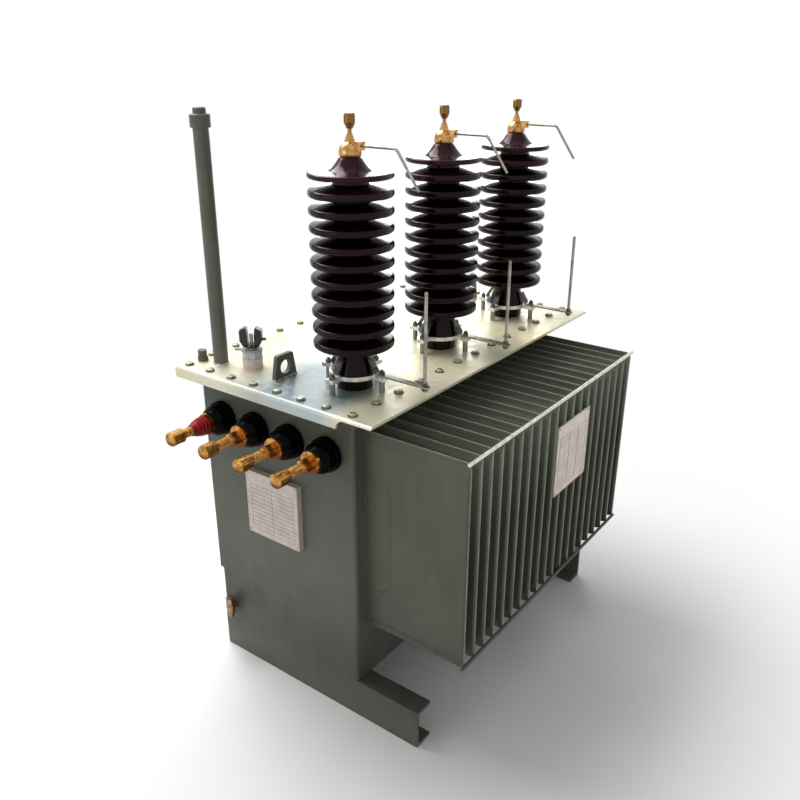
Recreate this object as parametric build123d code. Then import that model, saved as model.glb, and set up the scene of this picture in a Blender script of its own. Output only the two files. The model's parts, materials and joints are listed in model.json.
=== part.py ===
from build123d import *
import math
import os

os.makedirs("parts", exist_ok=True)

# Frame: millimetres, +Z up, ground at Z = 0
# X runs along the long side, with the low voltage end wall facing -X
# -Y is the radiator side, +Y is the plain back

# Gap between pieces that fit round one another, and overshoot of a cut
FIT_GAP = 0.3
CUT = 1

# Skids: two channels laid across the tank ends, webs outward
SKID_LENGTH = 614
SKID_HEIGHT = 100
SKID_FLANGE_WIDTH = 50
SKID_WEB = 6
SKID_FLANGE = 8
SKID_ROOT_RADIUS = 8
SKID_HOLE_DIAMETER = 18
SKID_HOLE_SPACING = 480

# Tank: a skirt under a slightly wider body
TANK_LENGTH = 836
TANK_WIDTH = 445
TANK_WALL = 4
TANK_STEP = 5
TANK_CORNER = 8
FLOOR_THICKNESS = 6
SKIRT_HEIGHT = 142
BODY_HEIGHT = 538
RIM_THICKNESS = 8
RIM_SIDE = 43
RIM_FRONT = 45
RIM_BACK = 18
GASKET_THICKNESS = 4
GASKET_INSET = 3

# Cover: a plate with its two end edges folded down
COVER_THICKNESS = 6
COVER_SIDE = 53
COVER_FRONT = 88
COVER_BACK = 20
LIP_DEPTH = 26
COVER_BEND = 8

# Radiator: hollow fins, pinched and welded along top and bottom
FIN_COUNT = 20
FIN_PITCH = 40.8
FIN_BANK_X = 7.5
FIN_THICKNESS = 12
FIN_SEAM = 3
FIN_SEAM_HEIGHT = 10
FIN_TAPER_HEIGHT = 16
FIN_DEPTH = 256
FIN_HEAD = 45
FIN_FOOT = 6
FIN_CORNER = 12
SWAGE_OFFSET = 62
SWAGE_RETURN = 25
SWAGE_WIDTH = 11
SWAGE_BED_WIDTH = 3
SWAGE_DEPTH = 1.5
SWAGE_HEIGHT = 230
DIMPLE_DIAMETER = 20
DIMPLE_DEPTH = 2
DIMPLE_OFFSET = 144
DIMPLE_SPACING = 287
BAR_DIAMETER = 8
BAR_OVERHANG = 2

# High voltage bushings, three in a row along X
HV_COUNT = 3
HV_SPACING = 322
HV_ROW_OFFSET = 76
SHED_COUNT = 11
SHED_PITCH = 33.8
SHED_FIRST = 98
SHED_RADIUS = 85
SHED_TIP = 7
SHED_ROUND = 6.5
SHED_RISE = 16
SHED_DROP = 11
SHED_THROAT = 2.5
TOP_SHED_TIP = 5
TOP_SHED_ROUND = 4.5
TOP_SHED_RISE = 8
TOP_SHED_DROP = 8
CORE_RADIUS = 36
FOOT_RADIUS = 38
FOOT_HEIGHT = 27
SHOULDER_RADIUS = 47
SHOULDER_HEIGHT = 10
SHOULDER_TOP = 66
CONE_HEIGHT = 32
CONE_RADIUS = 33
CONE_TOP_RADIUS = 20

# Clamp: a ring on the porcelain foot, with four claws and legs down to the cover
CLAW_COUNT = 4
CLAMP_RADIUS = 54
CLAMP_HEIGHT = 9
EAR_REACH = 83
EAR_WIDTH = 20
LEG_RADIUS = 6
LEG_REACH = 73
CLAW_THICKNESS = 4
CLAW_WIDTH = 14
CLAW_FOOT_REACH = 57
CLAW_REACH = 59
CLAW_TOP_REACH = 43
CLAW_BEND_HEIGHT = 17
CLAW_TOP_HEIGHT = 40

# Brass terminal on top of each bushing
BALL_RADIUS = 22
BALL_HEIGHT = 9
COLLAR_RADIUS = 11
COLLAR_OVERLAP = 3
COLLAR_TOP_RADIUS = 5
COLLAR_TOP_HEIGHT = 44
STEM_RADIUS = 4
BULB_RADIUS = 11
BULB_FOOT_RADIUS = 6
BULB_TOP_RADIUS = 9
BULB_HEIGHT = 28
BULB_TAPER = 11
BULB_CHAMFER = 4
TERMINAL_HEIGHT = 80
HORN_LUG_REACH = 31
HORN_LUG_WIDTH = 14
HORN_LUG_HEIGHT = 16
HORN_HEIGHT = 22

# Arcing horns, above and below, reaching out towards the radiator side
HORN_TURN = -90
UPPER_HORN_ROD = 7
UPPER_HORN_BEND = 110
UPPER_HORN_RADIUS = 12
UPPER_HORN_TIP = 162
UPPER_HORN_DROP = 73
LOWER_HORN_ROD = 7
LOWER_HORN_REACH = 181
LOWER_HORN_TOP = 232
LOWER_HORN_TAIL = 9
HORN_ARM_START = 64
HORN_ARM_END = 192
HORN_ARM_WIDTH = 14
HORN_ARM_THICKNESS = 4
HORN_SLOT_START = 132
HORN_SLOT_END = 158
HORN_SLOT_WIDTH = 6

# Low voltage bushings on the end wall
LV_COUNT = 4
LV_SPACING = 105
LV_DROP = 121
LV_DISC_RADIUS = 39
LV_DISC_LENGTH = 16
LV_GROOVE_RADIUS = 30
LV_GROOVE_LENGTH = 5
LV_DOME_RADIUS = 35
LV_DOME_LENGTH = 12
LV_DOME_TOP_RADIUS = 24
LV_DOME_ROUND = 6
LV_INSULATOR_LENGTH = 50
LV_FLANGE_RADIUS = 25
LV_FLANGE_LENGTH = 6
LV_NUT_RADIUS = 16
LV_NUT_LENGTH = 22
LV_STUD_RADIUS = 10
LV_STUD_LENGTH = 44
LV_CONNECTOR_RADIUS = 16
LV_CONNECTOR_LENGTH = 36
LV_CONNECTOR_CHAMFER = 3
SLEEVE_RADIUS = 22
SLEEVE_END_RADIUS = 13
SLEEVE_LENGTH = 42

# Filler pipe
PIPE_DIAMETER = 33
PIPE_WALL = 3.2
PIPE_HEIGHT = 525
PIPE_X = 23
PIPE_Y = 49
CAP_DIAMETER = 43
CAP_HEIGHT = 26
CAP_OVERLAP = 14
CAP_ROUND = 3
CAP_KNOB_DIAMETER = 27
CAP_KNOB_HEIGHT = 13

# Tap changer
TAP_X = 50
TAP_Y = 124
TAP_BASE_DIAMETER = 46
TAP_BASE_HEIGHT = 22
TAP_NUT_DIAMETER = 46
TAP_NUT_HEIGHT = 16
TAP_PLATE_DIAMETER = 48
TAP_PLATE_HEIGHT = 4
TAP_BOSS_DIAMETER = 24
TAP_BOSS_HEIGHT = 5
TAP_POST_DIAMETER = 8
TAP_POST_HEIGHT = 30
TAP_STUB_DIAMETER = 6
TAP_STUB_LENGTH = 8
TAP_STUB_HEIGHT = 17
TAP_POINTER_REACH = 38
TAP_POINTER_WIDTH = 7
TAP_HUB_HEIGHT = 4
TAP_HANDLE_HEIGHT = 46
TAP_HANDLE_WIDTH = 50
TAP_HANDLE_FOOT = 34
TAP_HANDLE_THICKNESS = 17
TAP_HANDLE_SHOULDER = 14
TAP_HANDLE_SLOPE = 8
TAP_GAP_WIDTH = 14
TAP_GAP_TOP_WIDTH = 20
TAP_HANDLE_ROUND = 3
TAP_HANDLE_TURN = -54

# Lifting lugs and thermometer pocket
LUG_INSET = 11
LUG_Y = 227
LUG_BASE = 67
LUG_TOP = 48
LUG_HEIGHT = 54
LUG_ROUND = 5
LUG_THICKNESS = 10
LUG_HOLE_DIAMETER = 31
LUG_HOLE_HEIGHT = 25
POCKET_X = 9
POCKET_Y = 3
POCKET_NUT_DIAMETER = 26
POCKET_NUT_HEIGHT = 9
POCKET_DIAMETER = 20
POCKET_HEIGHT = 25

# Fittings on the walls
PLATE_THICKNESS = 1.5
FRONT_PLATE_WIDTH = 160
FRONT_PLATE_HEIGHT = 164
FRONT_PLATE_STANDOFF = 14
FRONT_PLATE_DROP = 309
FRONT_PLATE_Y = 233
FIN_PLATE_WIDTH = 165
FIN_PLATE_HEIGHT = 179
FIN_PLATE_X = 74
FIN_PLATE_DROP = 154
DRAIN_HEIGHT = 41
DRAIN_Y = 39
DRAIN_PIPE_RADIUS = 9
DRAIN_PIPE_LENGTH = 18
DRAIN_BODY_RADIUS = 11
DRAIN_BODY_HEIGHT = 30
DRAIN_PLUG_RADIUS = 12
DRAIN_PLUG_HEIGHT = 12
DRAIN_SPOUT_RADIUS = 7
DRAIN_SPOUT_HEIGHT = 14

# Levels and faces that follow from the sizes above
SKIRT_TOP = SKID_HEIGHT + SKIRT_HEIGHT
BODY_TOP = SKIRT_TOP + BODY_HEIGHT
RIM_TOP = BODY_TOP + RIM_THICKNESS
COVER_BOTTOM = RIM_TOP + GASKET_THICKNESS
COVER_TOP = COVER_BOTTOM + COVER_THICKNESS
TANK_BACK = SKID_LENGTH / 2
TANK_Y = TANK_BACK - TANK_WIDTH / 2
BODY_LENGTH = TANK_LENGTH + 2 * TANK_STEP
BODY_WIDTH = TANK_WIDTH + 2 * TANK_STEP
BODY_FRONT = TANK_Y - BODY_WIDTH / 2
BODY_BACK = TANK_Y + BODY_WIDTH / 2
BODY_END = BODY_LENGTH / 2
FIN_BOTTOM = SKIRT_TOP + FIN_FOOT
FIN_TOP = BODY_TOP - FIN_HEAD
FIN_HEIGHT = FIN_TOP - FIN_BOTTOM
FIN_TIP_Y = BODY_FRONT - FIN_DEPTH
HV_Y = BODY_FRONT + HV_ROW_OFFSET
LV_Z = COVER_TOP - LV_DROP
LV_FIRST_Y = TANK_Y + LV_SPACING * (LV_COUNT - 1) / 2
LV_TIP_X = -BODY_END - LV_INSULATOR_LENGTH
LAST_SHED = SHED_FIRST + (SHED_COUNT - 1) * SHED_PITCH
CONE_TOP = LAST_SHED + CONE_HEIGHT
CLAMP_TOP = FOOT_HEIGHT + CLAMP_HEIGHT
TAP_BASE_TOP = TAP_BASE_HEIGHT + TAP_NUT_HEIGHT + TAP_PLATE_HEIGHT + TAP_BOSS_HEIGHT


def save(shape, node):
    export_step(shape, f"parts/{node}.step")


def block(x0, x1, y0, y1, z0, z1):
    """A box between two corners."""
    middle = ((x0 + x1) / 2, (y0 + y1) / 2, (z0 + z1) / 2)
    return Pos(*middle) * Box(x1 - x0, y1 - y0, z1 - z0)


def upright(section):
    """A solid of revolution about Z, from a half section of radius and height."""
    return revolve(Plane.XZ * section, Axis.Z)


def turned(points):
    """The same, from the corners of the half section."""
    return upright(make_face(Polyline(*points, close=True)))


def stack(*steps):
    """A turned piece of plain cylinders, from pairs of radius and length, one on another."""
    points = [(0, 0)]
    z = 0
    for radius, length in steps:
        points += [(radius, z), (radius, z + length)]
        z += length
    return turned(points + [(0, z)])


def nut(radius, length, z=0):
    """A hexagon bar, its radius taken to the corners."""
    return Pos(0, 0, z) * extrude(RegularPolygon(radius, 6), length)


def out_of_end_wall(shape, x, y, z):
    """A piece built along Z, laid so that it runs out along -X."""
    return Pos(x, y, z) * Rot(0, -90, 0) * shape


def tube_wall(length, width, corner, wall, height, z):
    """A four sided wall with rounded corners."""
    outer = RectangleRounded(length, width, corner)
    inner = RectangleRounded(length - 2 * wall, width - 2 * wall, max(corner - wall, CUT))
    return Pos(0, TANK_Y, z) * extrude(outer - inner, height)


def skid():
    """A rolled channel across the front end of the tank, its web outward."""
    section = Rectangle(SKID_FLANGE_WIDTH, SKID_HEIGHT)
    slot = Pos(SKID_WEB, 0) * Rectangle(SKID_FLANGE_WIDTH, SKID_HEIGHT - 2 * SKID_FLANGE)
    section -= fillet(slot.vertices().group_by(Axis.X)[0], SKID_ROOT_RADIUS)
    channel = extrude(Plane.XZ * section, SKID_LENGTH / 2, both=True)
    hole_x = (SKID_WEB + SKID_FLANGE_WIDTH) / 2 - SKID_FLANGE_WIDTH / 2
    for hole_y in (-SKID_HOLE_SPACING / 2, SKID_HOLE_SPACING / 2):
        hole = Cylinder(SKID_HOLE_DIAMETER / 2, SKID_FLANGE + CUT)
        channel -= Pos(hole_x, hole_y, (SKID_FLANGE - SKID_HEIGHT) / 2) * hole
    return Pos((SKID_FLANGE_WIDTH - TANK_LENGTH) / 2, 0, SKID_HEIGHT / 2) * channel


def tank():
    floor = RectangleRounded(TANK_LENGTH, TANK_WIDTH, TANK_CORNER)
    save(Pos(0, TANK_Y, SKID_HEIGHT) * extrude(floor, FLOOR_THICKNESS), "tank_floor")
    skirt_bottom = SKID_HEIGHT + FLOOR_THICKNESS
    skirt = tube_wall(
        TANK_LENGTH, TANK_WIDTH, TANK_CORNER, TANK_WALL, SKIRT_TOP - skirt_bottom, skirt_bottom
    )
    save(skirt, "tank_skirt")
    body = tube_wall(BODY_LENGTH, BODY_WIDTH, TANK_CORNER, TANK_WALL, BODY_HEIGHT, SKIRT_TOP)
    ledge = TANK_STEP + TANK_WALL
    body += tube_wall(BODY_LENGTH, BODY_WIDTH, TANK_CORNER, ledge, TANK_WALL, SKIRT_TOP)
    save(body, "tank_body")


def rim_ring(inset, thickness, z):
    """A flat ring that follows the top of the tank, its front and back widths unequal."""
    outer = block(
        -BODY_END - RIM_SIDE + inset,
        BODY_END + RIM_SIDE - inset,
        BODY_FRONT - RIM_FRONT + inset,
        BODY_BACK + RIM_BACK - inset,
        z,
        z + thickness,
    )
    hole = block(
        -BODY_END + TANK_WALL + inset,
        BODY_END - TANK_WALL - inset,
        BODY_FRONT + TANK_WALL + inset,
        BODY_BACK - TANK_WALL - inset,
        z - CUT,
        z + thickness + CUT,
    )
    return outer - hole


def cover():
    """A plate with a bent lip at each end, each lip cut off in a curve short of the radiator."""
    edge_x = BODY_END + COVER_SIDE
    front = BODY_FRONT - COVER_FRONT
    back = BODY_BACK + COVER_BACK
    lip_bottom = COVER_TOP - LIP_DEPTH
    lip_drop = LIP_DEPTH - COVER_THICKNESS
    outer = Pos(0, COVER_TOP - LIP_DEPTH / 2) * Rectangle(2 * edge_x, LIP_DEPTH)
    outer = fillet(outer.vertices().group_by(Axis.Y)[-1], COVER_BEND)
    inner = Pos(0, lip_bottom + lip_drop / 2) * Rectangle(2 * (edge_x - COVER_THICKNESS), lip_drop)
    inner = fillet(inner.vertices().group_by(Axis.Y)[-1], COVER_BEND - COVER_THICKNESS)
    plate = Pos(0, back, 0) * extrude(Plane.XZ * (outer - inner), back - front)
    curve_y = BODY_FRONT - lip_drop
    plate -= block(
        -edge_x - CUT, edge_x + CUT, front - CUT, curve_y, lip_bottom - CUT, COVER_BOTTOM
    )
    curve = Rot(0, 90, 0) * Cylinder(lip_drop, 2 * (edge_x + CUT))
    return plate - Pos(0, curve_y, lip_bottom) * curve


def fin():
    """One fin, flat sided, pinched to a seam at top and bottom, with a folded outer edge."""
    half, seam = FIN_THICKNESS / 2, FIN_SEAM / 2
    taper = FIN_SEAM_HEIGHT + FIN_TAPER_HEIGHT
    right = [
        (seam, FIN_BOTTOM),
        (seam, FIN_BOTTOM + FIN_SEAM_HEIGHT),
        (half, FIN_BOTTOM + taper),
        (half, FIN_TOP - taper),
        (seam, FIN_TOP - FIN_SEAM_HEIGHT),
        (seam, FIN_TOP),
    ]
    left = [(-x, z) for x, z in reversed(right)]
    side = Plane.XZ * make_face(Polyline(*right, *left, close=True))
    solid = Pos(0, BODY_FRONT, 0) * extrude(side, FIN_DEPTH)
    edge = Pos(0, FIN_TIP_Y + half) * Circle(half)
    plan = edge + Pos(0, BODY_FRONT - (FIN_DEPTH - half) / 2) * Rectangle(FIN_THICKNESS, FIN_DEPTH - half)
    solid = solid & (Pos(0, 0, FIN_BOTTOM) * extrude(plan, FIN_HEIGHT))
    outline = Pos(BODY_FRONT - FIN_DEPTH / 2, (FIN_BOTTOM + FIN_TOP) / 2) * Rectangle(FIN_DEPTH, FIN_HEIGHT)
    outline = fillet(outline.vertices().group_by(Axis.X)[0], FIN_CORNER)
    return solid & extrude(Plane.YZ * outline, half, both=True)


def fin_marks():
    """The pressed line and the two dimples in a fin's face, as the tools that press them."""
    middle = (FIN_BOTTOM + FIN_TOP) / 2
    line_y = BODY_FRONT - SWAGE_OFFSET
    top, bottom = middle + SWAGE_HEIGHT / 2, middle - SWAGE_HEIGHT / 2
    line = Polyline(
        (line_y + SWAGE_RETURN, bottom - SWAGE_RETURN),
        (line_y, bottom),
        (line_y, top),
        (line_y + SWAGE_RETURN, top + SWAGE_RETURN),
    )
    face = Plane.YZ.offset(-FIN_THICKNESS / 2)
    mouth = (face * trace(line, SWAGE_WIDTH)).face()
    bed = (face.offset(SWAGE_DEPTH) * trace(line, SWAGE_BED_WIDTH)).face()
    marks = [loft([mouth, bed], ruled=True)]
    dish = (DIMPLE_DIAMETER ** 2 / 4 + DIMPLE_DEPTH ** 2) / (2 * DIMPLE_DEPTH)
    x = DIMPLE_DEPTH - dish - FIN_THICKNESS / 2
    for z in (middle - DIMPLE_SPACING / 2, middle + DIMPLE_SPACING / 2):
        marks.append(Pos(x, BODY_FRONT - DIMPLE_OFFSET, z) * Rot(0, 0, 180) * Sphere(dish))
    return marks


def radiator():
    one = fin() - fin_marks()
    first_x = FIN_BANK_X - FIN_PITCH * (FIN_COUNT - 1) / 2
    fins = [Pos(first_x + FIN_PITCH * i, 0, 0) * one for i in range(FIN_COUNT)]
    save(Compound(children=fins), "radiator_fins")
    bar_length = FIN_PITCH * (FIN_COUNT - 1) + FIN_THICKNESS + 2 * BAR_OVERHANG
    bar = Rot(0, 90, 0) * Cylinder(BAR_DIAMETER / 2, bar_length)
    reach = (FIN_CORNER + BAR_DIAMETER / 2) / math.sqrt(2) - FIN_CORNER
    save(Pos(FIN_BANK_X, FIN_TIP_Y - reach, FIN_TOP + reach) * bar, "upper_fin_bar")
    save(Pos(FIN_BANK_X, FIN_TIP_Y - reach, FIN_BOTTOM - reach) * bar, "lower_fin_bar")


def shed(tip, rounding, rise, drop):
    """Half section of one shed about its own middle, thicker at the core than at the tip."""
    outline = Polyline(
        (0, rise),
        (CORE_RADIUS, rise),
        (SHED_RADIUS, tip),
        (SHED_RADIUS, -tip),
        (CORE_RADIUS, -drop),
        (0, -drop),
        close=True,
    )
    face = make_face(outline)
    return fillet(face.vertices().group_by(Axis.X)[-1], rounding)


def porcelain():
    """The glazed insulator: foot, shoulder, core, sheds and top cone, with a rounded throat between sheds."""
    foot = Polyline(
        (0, 0),
        (FOOT_RADIUS, 0),
        (FOOT_RADIUS, FOOT_HEIGHT),
        (SHOULDER_RADIUS, FOOT_HEIGHT),
        (SHOULDER_RADIUS, FOOT_HEIGHT + SHOULDER_HEIGHT),
        (CORE_RADIUS, SHOULDER_TOP),
        (0, SHOULDER_TOP),
        close=True,
    )
    section = make_face(foot)
    section += Pos(CORE_RADIUS / 2, LAST_SHED / 2) * Rectangle(CORE_RADIUS, LAST_SHED)
    for i in range(SHED_COUNT - 1):
        section += Pos(0, SHED_FIRST + i * SHED_PITCH) * shed(SHED_TIP, SHED_ROUND, SHED_RISE, SHED_DROP)
    top_shed = shed(TOP_SHED_TIP, TOP_SHED_ROUND, TOP_SHED_RISE, TOP_SHED_DROP)
    section += Pos(0, LAST_SHED) * top_shed
    throats = section.vertices().filter_by_position(Axis.X, CORE_RADIUS - CUT, CORE_RADIUS + CUT)
    throats = throats.filter_by_position(Axis.Y, SHED_FIRST, LAST_SHED)
    section = fillet(throats, SHED_THROAT)
    cone = Polyline(
        (0, LAST_SHED), (CONE_RADIUS, LAST_SHED), (CONE_TOP_RADIUS, CONE_TOP), (0, CONE_TOP), close=True
    )
    return upright(section + make_face(cone))


def claw():
    """One claw of the clamp: an ear on the ring, a leg to the cover and a strap bent over the foot."""
    ear = block(SHOULDER_RADIUS, EAR_REACH, -EAR_WIDTH / 2, EAR_WIDTH / 2, FOOT_HEIGHT, CLAMP_TOP)
    leg = Pos(LEG_REACH, 0, FOOT_HEIGHT / 2) * Cylinder(LEG_RADIUS, FOOT_HEIGHT)
    strap = Polyline(
        (CLAW_FOOT_REACH, CLAMP_TOP - CLAW_THICKNESS),
        (CLAW_FOOT_REACH, CLAMP_TOP),
        (CLAW_REACH, FOOT_HEIGHT + CLAW_BEND_HEIGHT),
        (CLAW_TOP_REACH, FOOT_HEIGHT + CLAW_TOP_HEIGHT),
    )
    strap = extrude(Plane.XZ * trace(strap, CLAW_THICKNESS), CLAW_WIDTH / 2, both=True)
    return ear + leg + strap


def hv_clamp():
    clamp = Pos(0, 0, FOOT_HEIGHT + CLAMP_HEIGHT / 2) * Cylinder(CLAMP_RADIUS, CLAMP_HEIGHT)
    for turn in range(CLAW_COUNT):
        clamp += Rot(0, 0, HORN_TURN + turn * 360 / CLAW_COUNT) * claw()
    return clamp - Cylinder(SHOULDER_RADIUS + FIT_GAP, 2 * (CLAMP_TOP + CUT))


def hv_terminal():
    """Brass fitting: flat bottomed ball, collar, thin stem and bulb, with a lug that holds the horn."""
    bulb_foot = TERMINAL_HEIGHT - BULB_HEIGHT
    body = turned([
        (0, 0),
        (COLLAR_RADIUS, 0),
        (COLLAR_RADIUS, BALL_HEIGHT + BALL_RADIUS - COLLAR_OVERLAP),
        (COLLAR_TOP_RADIUS, COLLAR_TOP_HEIGHT),
        (STEM_RADIUS, COLLAR_TOP_HEIGHT),
        (STEM_RADIUS, bulb_foot),
        (BULB_FOOT_RADIUS, bulb_foot),
        (BULB_RADIUS, bulb_foot + BULB_TAPER),
        (BULB_RADIUS, TERMINAL_HEIGHT - BULB_CHAMFER),
        (BULB_TOP_RADIUS, TERMINAL_HEIGHT),
        (0, TERMINAL_HEIGHT),
    ])
    ball = Pos(0, 0, BALL_HEIGHT) * Sphere(BALL_RADIUS)
    body += ball - Pos(0, 0, -BALL_RADIUS) * Box(2 * BALL_RADIUS, 2 * BALL_RADIUS, 2 * BALL_RADIUS)
    half = HORN_LUG_WIDTH / 2
    low = HORN_HEIGHT - HORN_LUG_HEIGHT / 2
    lug = block(0, HORN_LUG_REACH, -half, half, low, low + HORN_LUG_HEIGHT)
    return Pos(0, 0, CONE_TOP) * (body + lug)


def upper_horn():
    """A thin rod from the terminal's lug, level at first and then bent down and out."""
    z = CONE_TOP + HORN_HEIGHT
    path = FilletPolyline(
        (HORN_LUG_REACH, 0, z),
        (UPPER_HORN_BEND, 0, z),
        (UPPER_HORN_TIP, 0, z - UPPER_HORN_DROP),
        radius=UPPER_HORN_RADIUS,
    )
    return sweep(Plane(origin=path @ 0, z_dir=path % 0) * Circle(UPPER_HORN_ROD / 2), path)


def lower_horn():
    """A slotted flat arm on the clamp's ear, with an upright rod near its end."""
    half = HORN_ARM_WIDTH / 2
    plan = Pos((HORN_ARM_START + HORN_ARM_END) / 2, 0) * Rectangle(HORN_ARM_END - HORN_ARM_START, 2 * half)
    plan = fillet(plan.vertices().group_by(Axis.X)[-1], half - CUT)
    slot_middle = (HORN_SLOT_START + HORN_SLOT_END) / 2
    plan -= Pos(slot_middle, 0) * SlotOverall(HORN_SLOT_END - HORN_SLOT_START, HORN_SLOT_WIDTH)
    arm = Pos(0, 0, CLAMP_TOP) * extrude(plan, HORN_ARM_THICKNESS)
    foot = CLAMP_TOP - LOWER_HORN_TAIL
    rod = Cylinder(LOWER_HORN_ROD / 2, LOWER_HORN_TOP - foot)
    return arm + Pos(LOWER_HORN_REACH, 0, (foot + LOWER_HORN_TOP) / 2) * rod


def high_voltage_side():
    insulator = porcelain()
    clamp = hv_clamp()
    turn = Rot(0, 0, HORN_TURN)
    for k in range(HV_COUNT):
        place = Pos((k - (HV_COUNT - 1) / 2) * HV_SPACING, HV_Y, COVER_TOP)
        save(place * insulator, f"hv_porcelain_{k + 1}")
        save(place * clamp, f"hv_clamp_{k + 1}")
        save(place * turn * hv_terminal(), f"hv_terminal_{k + 1}")
        save(place * turn * upper_horn(), f"hv_upper_horn_{k + 1}")
        save(place * turn * lower_horn(), f"hv_lower_horn_{k + 1}")


def lv_insulator():
    """Black bushing: a disc against the wall, a groove and a rounded dome."""
    groove = LV_DISC_LENGTH + LV_GROOVE_LENGTH
    disc = Pos(LV_DISC_RADIUS / 2, LV_DISC_LENGTH / 2) * Rectangle(LV_DISC_RADIUS, LV_DISC_LENGTH)
    section = fillet(disc.vertices().group_by(Axis.X)[-1].sort_by(Axis.Y)[-1], LV_DOME_ROUND)
    section += Pos(LV_GROOVE_RADIUS / 2, groove / 2) * Rectangle(LV_GROOVE_RADIUS, groove)
    dome = Polyline(
        (0, groove),
        (LV_DOME_RADIUS, groove),
        (LV_DOME_RADIUS, groove + LV_DOME_LENGTH),
        (LV_DOME_TOP_RADIUS, LV_INSULATOR_LENGTH),
        (0, LV_INSULATOR_LENGTH),
        close=True,
    )
    dome = make_face(dome)
    section += fillet(dome.vertices().filter_by_position(Axis.X, CUT, LV_DOME_RADIUS), LV_DOME_ROUND)
    return upright(section)


def lv_terminal():
    """Brass flange, hexagon nut, stud and round connector."""
    stem_end = LV_FLANGE_LENGTH + LV_NUT_LENGTH + LV_STUD_LENGTH
    terminal = stack((LV_FLANGE_RADIUS, LV_FLANGE_LENGTH), (LV_STUD_RADIUS, LV_NUT_LENGTH + LV_STUD_LENGTH))
    terminal += nut(LV_NUT_RADIUS, LV_NUT_LENGTH, LV_FLANGE_LENGTH)
    connector = Cylinder(LV_CONNECTOR_RADIUS, LV_CONNECTOR_LENGTH)
    connector = chamfer(connector.edges().filter_by(GeomType.CIRCLE), LV_CONNECTOR_CHAMFER)
    return terminal + Pos(0, 0, stem_end + LV_CONNECTOR_LENGTH / 2) * connector


def red_sleeve():
    """A sleeve that covers the nut and narrows on to the stud."""
    nut_bore = LV_NUT_RADIUS + FIT_GAP
    stud_bore = LV_STUD_RADIUS + FIT_GAP
    nut_end = LV_FLANGE_LENGTH + LV_NUT_LENGTH + FIT_GAP
    end = LV_FLANGE_LENGTH + SLEEVE_LENGTH
    return turned([
        (nut_bore, LV_FLANGE_LENGTH),
        (SLEEVE_RADIUS, LV_FLANGE_LENGTH),
        (SLEEVE_RADIUS, nut_end),
        (SLEEVE_END_RADIUS, end),
        (stud_bore, end),
        (stud_bore, nut_end),
        (nut_bore, nut_end),
    ])


def low_voltage_side():
    for k in range(LV_COUNT):
        y = LV_FIRST_Y - LV_SPACING * k
        save(out_of_end_wall(lv_insulator(), -BODY_END, y, LV_Z), f"lv_insulator_{k + 1}")
        save(out_of_end_wall(lv_terminal(), LV_TIP_X, y, LV_Z), f"lv_terminal_{k + 1}")
    save(out_of_end_wall(red_sleeve(), LV_TIP_X, LV_FIRST_Y, LV_Z), "lv_red_sleeve")


def filler():
    """An upright pipe with a cap that laps over its top."""
    place = Pos(-BODY_END + PIPE_X, BODY_BACK - PIPE_Y, COVER_TOP)
    radius = PIPE_DIAMETER / 2
    pipe = Cylinder(radius, PIPE_HEIGHT) - Cylinder(radius - PIPE_WALL, PIPE_HEIGHT)
    save(place * Pos(0, 0, PIPE_HEIGHT / 2) * pipe, "filler_pipe")
    cap = stack((CAP_DIAMETER / 2, CAP_HEIGHT), (CAP_KNOB_DIAMETER / 2, CAP_KNOB_HEIGHT))
    cap = fillet(cap.edges().filter_by(GeomType.CIRCLE).group_by(Axis.Z)[1:], CAP_ROUND)
    cap -= Pos(0, 0, CAP_OVERLAP / 2) * Cylinder(radius + FIT_GAP, CAP_OVERLAP)
    save(place * Pos(0, 0, PIPE_HEIGHT - CAP_OVERLAP) * cap, "filler_cap")


def tap_handle_lobe():
    """One of the handle's two upright lobes, seen from the side."""
    foot, width = TAP_HANDLE_FOOT / 2, TAP_HANDLE_WIDTH / 2
    slope_foot = TAP_HANDLE_HEIGHT - TAP_HANDLE_SLOPE
    outline = Polyline(
        (TAP_GAP_WIDTH / 2, 0),
        (foot, 0),
        (width, TAP_HANDLE_SHOULDER),
        (width, slope_foot),
        (TAP_GAP_TOP_WIDTH / 2, TAP_HANDLE_HEIGHT),
        (TAP_GAP_WIDTH / 2, slope_foot - TAP_HANDLE_SHOULDER),
        close=True,
    )
    lobe = extrude(Plane.XZ * make_face(outline), TAP_HANDLE_THICKNESS / 2, both=True)
    return fillet(lobe.edges().group_by(Axis.Z)[-1], TAP_HANDLE_ROUND)


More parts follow.
